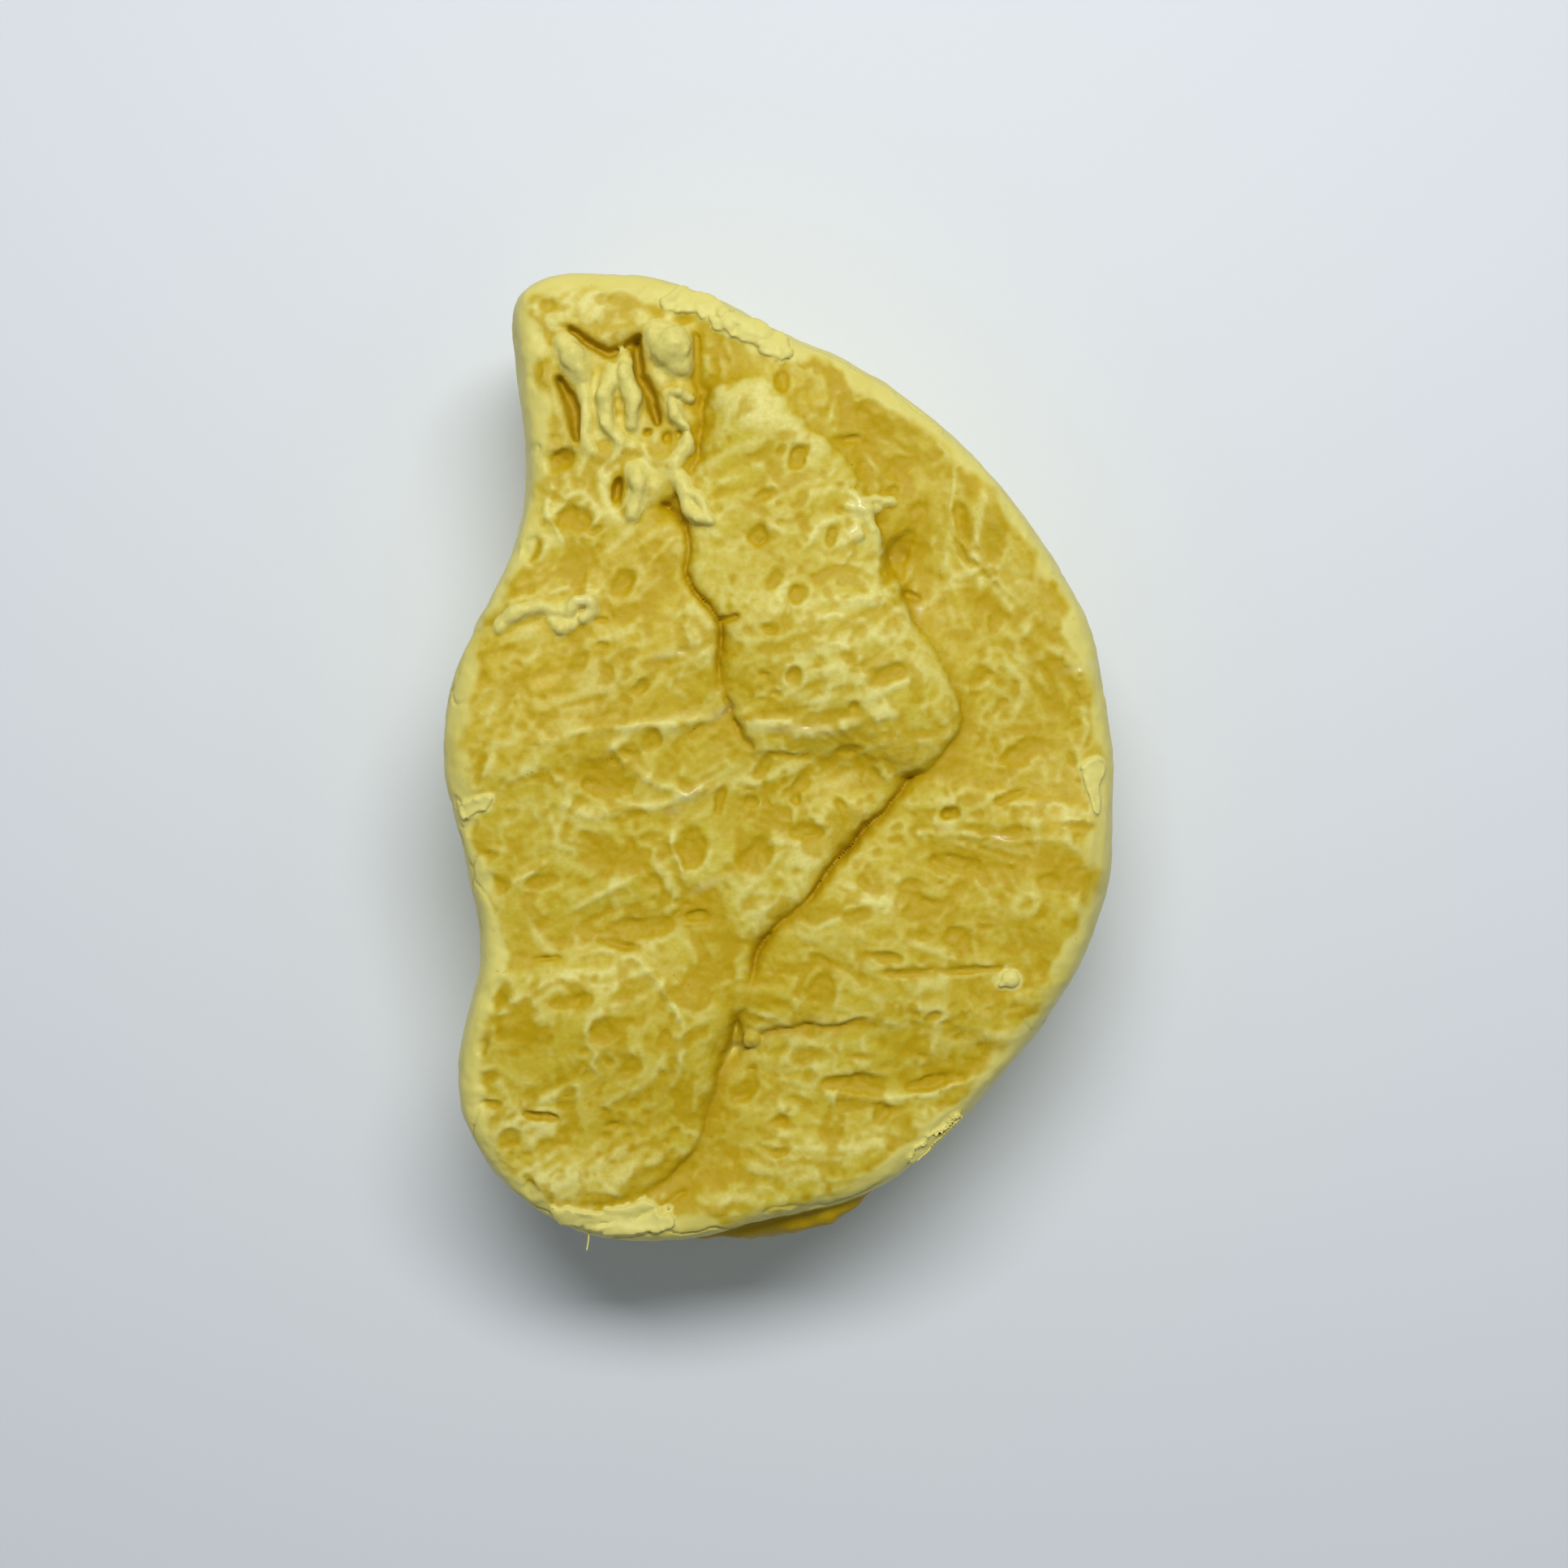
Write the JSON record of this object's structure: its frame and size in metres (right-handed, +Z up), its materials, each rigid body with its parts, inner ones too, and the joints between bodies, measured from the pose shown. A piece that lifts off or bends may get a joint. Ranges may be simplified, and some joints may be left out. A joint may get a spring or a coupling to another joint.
{
  "type": "clay bar",
  "caption": "Hand-sized lump of detailing clay, half-moon in plan with a blunt horn, torn open on top to show folds, creases and pores.",
  "frame": {"origin": "centre of the bounding box, on the surface that the lump rests on", "axes": "+Z up out of the torn face, +Y along the lump towards its horn, +X across it towards its round side"},
  "size_m": [0.0597, 0.086, 0.0266],
  "materials": {
    "handled_skin": "smooth handled clay, pale cream yellow, soft satin",
    "torn_clay": "torn clay, yellow with paler ridges, part matte and part waxy",
    "deep_clay": "fresh inner clay, mustard yellow, waxy"
  },
  "bodies": {
    "root": {"outer_skin": "handled_skin", "core": "deep_clay", "horn_fold": "torn_clay", "left_fold": "torn_clay", "centre_fold": "torn_clay", "right_fold": "torn_clay", "fan_fold": "torn_clay", "middle_fold": "torn_clay", "lower_left_fold": "torn_clay", "bottom_fold": "torn_clay", "horn_shreds": "torn_clay", "crease_curl": "torn_clay", "left_curl": "torn_clay", "centre_shreds": "torn_clay", "upper_skin_flap": "handled_skin", "lower_skin_flap": "handled_skin", "right_edge_chip": "handled_skin", "left_edge_flakes": "handled_skin", "ragged_flake": "handled_skin", "trapped_crumb": "torn_clay", "loose_crumb": "handled_skin", "squeezed_lip": "deep_clay", "stray_fibre": "handled_skin"}
  },
  "joints": []
}
